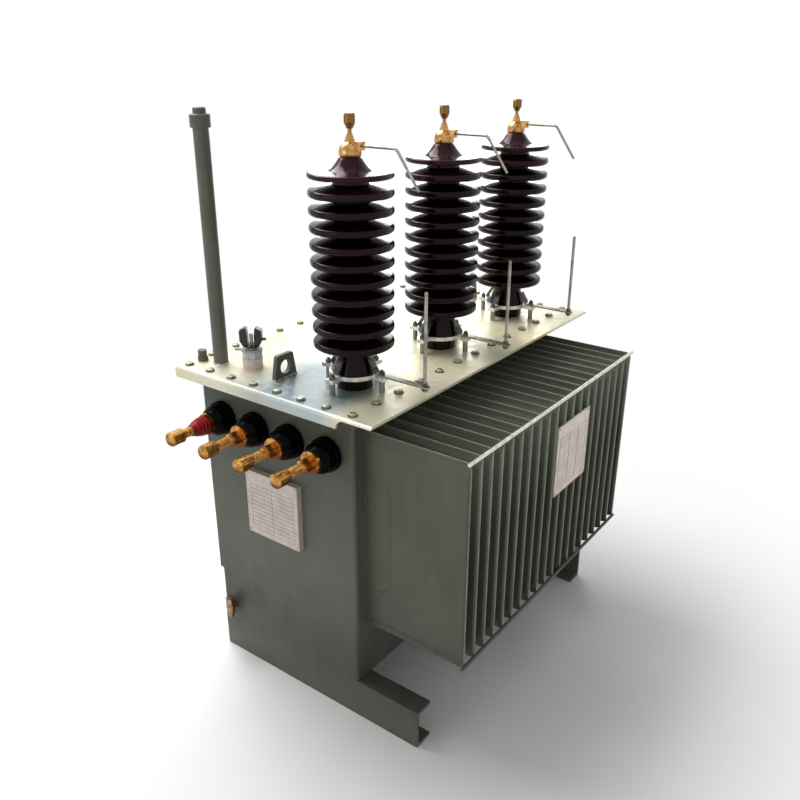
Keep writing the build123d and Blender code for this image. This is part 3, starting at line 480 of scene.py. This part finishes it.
def bead(form, path, radius, closed=True, ripple=5.0, sides=6, swelling=0.13):
    """A rod or weld bead that follows a path of points. A bead swells with the ripples the pool leaves."""
    points = [Vector(p) for p in path]
    if closed:
        points.append(points[0])
    stations = []
    for start, end in zip(points, points[1:]):
        count = max(1, round((end - start).length / ripple))
        stations += [start.lerp(end, i / count) for i in range(count)]
    if not closed:
        stations.append(points[-1])
    loops = []
    total = len(stations)
    for i, here in enumerate(stations):
        ahead = stations[(i + 1) % total] if closed else stations[min(i + 1, total - 1)]
        behind = stations[i - 1] if closed or i else stations[0]
        direction = (ahead - behind).normalized()
        turn = Vector((0, 0, 1)).rotation_difference(direction).to_matrix()
        swell = radius * (1 + swelling * math.sin(2.4 * i))
        loop = []
        for s in range(sides):
            angle = 2 * math.pi * s / sides
            point = Vector((swell * math.cos(angle), swell * math.sin(angle), 0))
            loop.append(form.verts.new(here + turn @ point))
        loops.append(loop)
    following = loops[1:] + loops[:1] if closed else loops[1:]
    for low, high in zip(loops, following):
        for s in range(sides):
            t = (s + 1) % sides
            form.faces.new((low[s], low[t], high[t], high[s]))
    if not closed:
        form.faces.new(loops[0][::-1])
        form.faces.new(loops[-1])


def rectangle(x, y_front, y_back, z, corner=8):
    """The points of a level loop round the tank, with its corners rounded."""
    points = []
    for cx, cy, start in ((x - corner, y_back - corner, 0), (-x + corner, y_back - corner, 90),
                          (-x + corner, y_front + corner, 180), (x - corner, y_front + corner, 270)):
        for k in range(4):
            angle = math.radians(start + 30 * k)
            points.append((cx + corner * math.cos(angle), cy + corner * math.sin(angle), z))
    return points


def circle(x, y, z, radius, count):
    """The points of a level circle."""
    turns = [2 * math.pi * i / count for i in range(count)]
    return [(x + radius * math.cos(a), y + radius * math.sin(a), z) for a in turns]


def ridge(form, place, left, right, bottom, top, height):
    """A low flat-topped ridge with sloping sides on a plate."""
    slope = height * 0.6
    low = [form.verts.new(place @ Vector((x, y, 0)))
           for x, y in ((left, bottom), (right, bottom), (right, top), (left, top))]
    high = [form.verts.new(place @ Vector((x, y, height)))
            for x, y in ((left + slope, bottom + slope), (right - slope, bottom + slope),
                         (right - slope, top - slope), (left + slope, top - slope))]
    form.faces.new(high)
    form.faces.new(low[::-1])
    for i in range(4):
        j = (i + 1) % 4
        form.faces.new((low[i], low[j], high[j], high[i]))


# Cover bolts: M10 hexagon heads on washers, with nuts under the rim
BOLT_ROW_X, BOLT_ROW_FRONT, BOLT_ROW_BACK = 452, -168, 320.7
END_BOLT_GAPS, LONG_BOLT_GAPS, END_BOLT_LAST = 7, 12, 310
BOLT_FLATS, BOLT_HEAD, BOLT_NUT, BOLT_RADIUS, BOLT_PITCH, BOLT_END = 15, 4.6, 7, 5, 1.5, 5
WASHER_RADIUS, WASHER_THICKNESS, BACK_WASHER_RADIUS = 10.5, 1.6, 9.2

end_reach = END_BOLT_LAST - BOLT_ROW_FRONT
end_rows = [BOLT_ROW_FRONT + end_reach * k / END_BOLT_GAPS for k in range(END_BOLT_GAPS + 1)]
long_rows = [BOLT_ROW_X * (2 * k / LONG_BOLT_GAPS - 1) for k in range(1, LONG_BOLT_GAPS)]
bolt_places = [(side * BOLT_ROW_X, y) for side in (-1, 1) for y in end_rows]
bolt_places += [(x, BOLT_ROW_FRONT) for x in long_rows] + [(x, BOLT_ROW_BACK) for x in long_rows]

heads, washers, under = bmesh.new(), bmesh.new(), bmesh.new()
for number, (x, y) in enumerate(bolt_places):
    by_wall = y == BOLT_ROW_BACK
    spun = Matrix.Rotation(math.pi / 6 if by_wall else 0.7 * number, 4, "Z")
    washer_radius = BACK_WASHER_RADIUS if by_wall else WASHER_RADIUS
    washer(washers, at(x, y, COVER_TOP), washer_radius, WASHER_THICKNESS)
    nut(heads, at(x, y, COVER_TOP + WASHER_THICKNESS) @ spun, BOLT_FLATS, BOLT_HEAD)
    nut(under, at(x, y, RIM_UNDER, (0, 0, -1)) @ spun, BOLT_FLATS, BOLT_NUT)
    # The bolt's end starts half a millimetre inside the nut
    thread(under, at(x, y, RIM_UNDER - BOLT_NUT - BOLT_END), BOLT_RADIUS, BOLT_PITCH, BOLT_END + 0.5, 16)
piece("cover_bolts", heads, bolt_zinc)
piece("cover_bolt_washers", washers, tarnish_and_shade_zinc)
piece("cover_bolt_nuts", under, tarnish_and_shade_zinc)

# Nuts on the four clamp studs of each high voltage bushing, and above and below each lower horn's arm
CLAMP_NUT_FLATS, CLAMP_NUT_HEIGHT, CLAMP_STUD_RADIUS, CLAMP_STUD_PITCH, CLAMP_STUD_END = 12, 6, 4, 1.25, 5
HORN_NUT_FLATS, HORN_NUT_HEIGHT = 12, 6
clamp_nuts, horn_nuts = bmesh.new(), bmesh.new()
for x in BUSHING_X:
    for quarter in range(4):
        turn = quarter * math.pi / 2
        px = x + CLAMP_LEG_REACH * math.cos(turn)
        py = BUSHING_Y + CLAMP_LEG_REACH * math.sin(turn)
        ear_top = HORN_ARM_TOP if quarter == 3 else CLAMP_TOP
        nut(clamp_nuts, at(px, py, ear_top), CLAMP_NUT_FLATS, CLAMP_NUT_HEIGHT)
        # The stud's end starts 1 mm inside the nut
        thread(clamp_nuts, at(px, py, ear_top + CLAMP_NUT_HEIGHT - 1),
               CLAMP_STUD_RADIUS, CLAMP_STUD_PITCH, CLAMP_STUD_END, 16)
    for z, tilt in ((HORN_ARM_TOP, (0, 0, 1)), (HORN_ARM_UNDER, (0, 0, -1))):
        nut(horn_nuts, at(x, BUSHING_Y - HORN_ROD_REACH, z, tilt), HORN_NUT_FLATS, HORN_NUT_HEIGHT)
piece("clamp_stud_nuts", clamp_nuts, tarnish_and_shade_zinc)
piece("lower_horn_nuts", horn_nuts, tarnish_and_shade_zinc)

# Low voltage insulators, turned finer than the CAD model, from the tank wall outwards
INSULATOR_PROFILE = [
    (0, 0), (37.5, 0), (39, 1.5), (39, 14), (38.2, 15.5), (36.5, 16), (31, 16.3), (30, 17.3), (30, 20),
    (31, 20.8), (33.6, 21), (34.7, 21.6), (35, 23), (35, 31), (34.6, 33), (33.6, 34.6), (27.5, 45.5),
    (25.8, 48), (23.5, 49.5), (20.5, 50), (0, 50)]
for k, y in enumerate(LV_Y, 1):
    insulator = bmesh.new()
    rings(insulator, at(-BODY_X, y, LV_Z, (-1, 0, 0)), INSULATOR_PROFILE, 96)
    turned = piece(f"lv_insulator_turned_{k}", insulator, black_epoxy)
    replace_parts(turned, f"lv_insulator_{k}")

# Upper arcing horns, thin rods that leave the terminal's lug level and bend down and out
HORN_LEVEL, HORN_START, HORN_BEND, HORN_TIP, HORN_DROP = 1288, 30, 110, 162, 73
HORN_ROD_RADIUS, HORN_BEND_RADIUS, HORN_BEND_STEPS = 2.7, 12, 6
fall = math.atan2(HORN_DROP, HORN_TIP - HORN_BEND)
lead = HORN_BEND_RADIUS * math.tan(fall / 2)
for k, x in enumerate(BUSHING_X, 1):
    route = [(HORN_START, 0)]
    for i in range(HORN_BEND_STEPS + 1):
        turn = fall * i / HORN_BEND_STEPS
        reach = HORN_BEND - lead + HORN_BEND_RADIUS * math.sin(turn)
        route.append((reach, HORN_BEND_RADIUS * (math.cos(turn) - 1)))
    route.append((HORN_TIP, -HORN_DROP))
    path = [(x, BUSHING_Y - reach, HORN_LEVEL + lift) for reach, lift in route]
    rod = bmesh.new()
    bead(rod, path, HORN_ROD_RADIUS, False, 4.0, 16, 0)
    horn = piece(f"upper_horn_rod_{k}", rod, rod_zinc)
    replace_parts(horn, f"hv_upper_horn_{k}")

# Red sleeve with pressed ribs, over the first terminal
SLEEVE_PROFILE = [(0, 0.5), (19, 0.5), (22, 2), (22, 6), (20, 8), (20, 9), (21.6, 11), (21.6, 14),
                  (18.8, 16.5), (18.8, 17.5), (20, 19.5), (20, 22), (17.2, 25), (17.2, 26), (18, 28),
                  (17.6, 31), (15, 34), (14, 36), (14.2, 38), (13, 41.5), (0, 41.5)]
sleeve = bmesh.new()
rings(sleeve, at(SLEEVE_START, LV_Y[0], LV_Z, (-1, 0, 0)), SLEEVE_PROFILE, 64)
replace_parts(piece("ribbed_red_sleeve", sleeve, red_sleeve), "lv_red_sleeve")

# Threads on the low voltage studs, half a millimetre clear of what is at either end
LV_THREAD_RADIUS, LV_THREAD_PITCH = 10.8, 2.5
threads = bmesh.new()
for y in LV_Y:
    stud = at(LV_STUD_START - 0.5, y, LV_Z, (-1, 0, 0))
    thread(threads, stud, LV_THREAD_RADIUS, LV_THREAD_PITCH, LV_STUD_LENGTH - 1)
piece("lv_stud_threads", threads, lv_brass)

# Porcelain necks, flared where the cone runs into the top shed
NECK_PROFILE = [(0, 1237), (48, 1238), (47, 1240), (42, 1242.6), (37.5, 1245.8), (33.8, 1249.4),
                (30.6, 1253.2), (27.6, 1257.2), (25, 1261), (23, 1264), (21.5, 1265.8), (0, 1265.8)]
necks = bmesh.new()
for x in BUSHING_X:
    rings(necks, at(x, BUSHING_Y, 0), NECK_PROFILE, 64)
piece("porcelain_necks", necks, glaze)

# Weld beads: those on the tank are painted over with it, those on the cover are bare
WELD, FIN_WELD, LUG_WELD = 2.6, 1.8, 2.4
FIN_WELD_SIDE, FIN_WELD_HEAD, FIN_WELD_FOOT = 26, 10, 10
LUG_HALF_THICKNESS = 5
welds = bmesh.new()
bead(welds, rectangle(SKIRT_X, SKIRT_FRONT, SKIRT_BACK, SKIRT_TOP), WELD)
bead(welds, rectangle(BODY_X, BODY_FRONT, BODY_BACK, RIM_UNDER), WELD)
piece("tank_welds", welds, tank_enamel)

fin_welds = bmesh.new()
for k in range(FIN_COUNT):
    x = FIN_BANK_X + (k - (FIN_COUNT - 1) / 2) * FIN_PITCH
    half_outline = [(FIN_HALF, FIN_FOOT + FIN_WELD_SIDE), (FIN_HALF, FIN_HEAD - FIN_WELD_SIDE),
                    (FIN_SEAM_HALF, FIN_HEAD - FIN_WELD_HEAD), (FIN_SEAM_HALF, FIN_HEAD)]
    mirrored = [(-dx, z) for dx, z in reversed(half_outline)]
    foot = [(-FIN_SEAM_HALF, FIN_FOOT + FIN_WELD_FOOT), (-FIN_SEAM_HALF, FIN_FOOT),
            (FIN_SEAM_HALF, FIN_FOOT), (FIN_SEAM_HALF, FIN_FOOT + FIN_WELD_FOOT)]
    outline = [(x + dx, BODY_FRONT, z) for dx, z in half_outline + mirrored + foot]
    bead(fin_welds, outline, FIN_WELD, True, 7.0, 5)
piece("fin_welds", fin_welds, tank_enamel)

fitting_welds = bmesh.new()
for x in (-LUG_X, LUG_X):
    corners = [(x + sx * LUG_HALF, LUG_Y + sy * LUG_HALF_THICKNESS, COVER_TOP)
               for sx, sy in ((-1, -1), (1, -1), (1, 1), (-1, 1))]
    bead(fitting_welds, corners, LUG_WELD, True, 4.0)
bead(fitting_welds, circle(*PIPE_AT, COVER_TOP, PIPE_RADIUS, 32), WELD, True, 4.0)
piece("fitting_welds", fitting_welds, bolt_zinc)

# Both plates: a raised edge, an empty ruled table and a rivet in each corner
PLATE_EDGE, PLATE_EDGE_HEIGHT, RULE_WIDTH, RULE_HEIGHT, RIVET_INSET = 3, 0.8, 0.9, 0.35, 7
TABLE_MARGIN, TABLE_HEAD = 14, 34
RIVET_PROFILE = [(0, 0), (3.2, 0), (3.0, 0.8), (1.9, 1.3), (0, 1.5)]
edges, rules, rivets = bmesh.new(), bmesh.new(), bmesh.new()
for centre, (width, height), right, rows, columns in (
        (FRONT_PLATE, FRONT_PLATE_SIZE, (0, -1, 0), 11, (0.5,)),
        (FIN_PLATE, FIN_PLATE_SIZE, (1, 0, 0), 13, (0.36, 0.68))):
    place = facing(centre, right, (0, 0, 1))
    half_x, half_y = width / 2, height / 2
    for side in (-1, 1):
        ends = sorted((side * half_x, side * (half_x - PLATE_EDGE)))
        ridge(edges, place, *ends, -half_y, half_y, PLATE_EDGE_HEIGHT)
        ends = sorted((side * half_y, side * (half_y - PLATE_EDGE)))
        ridge(edges, place, -half_x, half_x, *ends, PLATE_EDGE_HEIGHT)
        for other in (-1, 1):
            corner = (side * (half_x - RIVET_INSET), other * (half_y - RIVET_INSET), 0)
            rings(rivets, place @ Matrix.Translation(corner), RIVET_PROFILE, 16)
    table_x, table_top, table_bottom = half_x - TABLE_MARGIN, half_y - TABLE_HEAD, TABLE_MARGIN - half_y
    step = (table_top - table_bottom) / rows
    for row in range(rows + 1):
        y = table_bottom + row * step
        ridge(rules, place, -table_x, table_x, y - RULE_WIDTH / 2, y + RULE_WIDTH / 2, RULE_HEIGHT)
    for share in (0, *columns, 1):
        x = table_x * (2 * share - 1)
        ridge(rules, place, x - RULE_WIDTH / 2, x + RULE_WIDTH / 2, table_bottom, table_top, RULE_HEIGHT)
piece("plate_edges", edges, plate)
piece("plate_rules", rules, plate_ink)
piece("plate_rivets", rivets, bolt_zinc)

# Sleeve on the handle's side pin
PIN_START, PIN_LENGTH, PIN_RADIUS, PIN_HEIGHT = 24.5, 8.7, 3.4, 17
pin = bmesh.new()
out = (math.cos(TAP_TURN), math.sin(TAP_TURN), 0)
pin_at = at(TAP_AT[0] + PIN_START * out[0], TAP_AT[1] + PIN_START * out[1],
            TAP_HANDLE_FOOT + PIN_HEIGHT, out)
pin_profile = [(0, 0), (PIN_RADIUS, 0), (PIN_RADIUS, PIN_LENGTH - 1), (PIN_RADIUS - 1, PIN_LENGTH),
               (0, PIN_LENGTH)]
rings(pin, pin_at, pin_profile, 20)
piece("handle_pin_sleeve", pin, fitting_enamel, HANDLE)


# ---------------------------------------------------------------- studio

# The paper takes shadow near the object and turns to plain white further out, in metres
PAPER_NEAR, PAPER_FAR, PAPER_RADIUS = 0.55, 1.5, 14.0


def studio_floor():
    """Pale paper under the object, which keeps its shadow and meets the white background without a line."""
    form = bmesh.new()
    bmesh.ops.create_circle(form, cap_ends=True, radius=PAPER_RADIUS, segments=96)
    mesh = bpy.data.meshes.new("studio_floor")
    form.to_mesh(mesh)
    form.free()
    floor = bpy.data.objects.new("studio_floor", mesh)
    bpy.context.scene.collection.objects.link(floor)
    material, tree, shader, place = finish_of(
        "white_paper_floor", Base_Color=linear("#f4f4f4"), Roughness=0.9)
    reach = add(tree, "VectorMath", {"operation": "LENGTH"}, {0: place}, "Value")
    far = add(tree, "MapRange", {"clamp": True, "interpolation_type": "SMOOTHSTEP"}, {
        "Value": reach, "From Min": PAPER_NEAR, "From Max": PAPER_FAR})
    sight = add(tree, "LightPath").node.outputs
    seen = add(tree, "Math", LARGER, {0: sight["Is Camera Ray"], 1: sight["Is Glossy Ray"]})
    white = add(tree, "Math", PRODUCT, {0: far, 1: seen})
    paper = add(tree, "Emission", None, {"Color": (1, 1, 1, 1), "Strength": 1.0})
    mixed = add(tree, "MixShader", None, {0: white, 1: shader.outputs[0], 2: paper})
    output = [n for n in tree.nodes if n.type == "OUTPUT_MATERIAL"][0]
    tree.links.new(mixed, output.inputs["Surface"])
    mesh.materials.append(material)


def lamp(name, place, aim, size, power):
    """A soft area lamp."""
    data = bpy.data.lights.new(name, "AREA")
    data.shape = "RECTANGLE"
    data.size, data.size_y = size
    data.energy = power
    made = bpy.data.objects.new(name, data)
    made.location = place
    made.rotation_euler = (Vector(aim) - Vector(place)).to_track_quat("-Z", "Y").to_euler()
    bpy.context.scene.collection.objects.link(made)


def studio_world(level):
    """An even grey sky that the camera and every reflection see as white."""
    world = bpy.data.worlds.new("studio_white")
    bpy.context.scene.world = world
    world.use_nodes = True
    tree = world.node_tree
    tree.nodes.clear()
    sight = add(tree, "LightPath").node.outputs
    direct = add(tree, "Math", LARGER, {0: sight["Is Camera Ray"], 1: sight["Is Glossy Ray"]})
    seen = add(tree, "Math", LARGER, {0: direct, 1: sight["Is Transmission Ray"]})
    strength = add(tree, "MapRange", None, {"Value": seen, "To Min": level, "To Max": 1.0})
    sky = add(tree, "Background", None, {"Color": (1, 1, 1, 1), "Strength": strength})
    add(tree, "OutputWorld", None, {"Surface": sky})


def photo_camera(place, heading, dip, roll, lens):
    """The camera at the photograph's height, distance and viewing angle."""
    data = bpy.data.cameras.new("photo_camera")
    data.sensor_width = 36.0
    data.lens = lens
    camera = bpy.data.objects.new("photo_camera", data)
    turn = (Matrix.Rotation(math.radians(heading - 90), 4, "Z")
            @ Matrix.Rotation(math.radians(90 - dip), 4, "X")
            @ Matrix.Rotation(math.radians(roll), 4, "Z"))
    camera.matrix_world = Matrix.Translation(Vector(place)) @ turn
    bpy.context.scene.collection.objects.link(camera)
    bpy.context.scene.camera = camera


photo_camera(place=(-1.5704, -1.1102, 1.450), heading=36.50, dip=22.95, roll=0.10, lens=36.93)
studio_floor()
studio_world(level=0.42)
lamp("key_softbox", place=(-0.1, 1.5, 3.1), aim=(0, 0, 0.7), size=(1.9, 1.6), power=98)
lamp("fill_left", place=(-3.2, 0.9, 1.5), aim=(0, 0, 0.6), size=(1.8, 1.8), power=10)
lamp("back_right_panel", place=(2.6, 1.8, 1.5), aim=(0, 0, 0.9), size=(1.6, 1.2), power=25)
bpy.context.scene.view_settings.view_transform = "Standard"
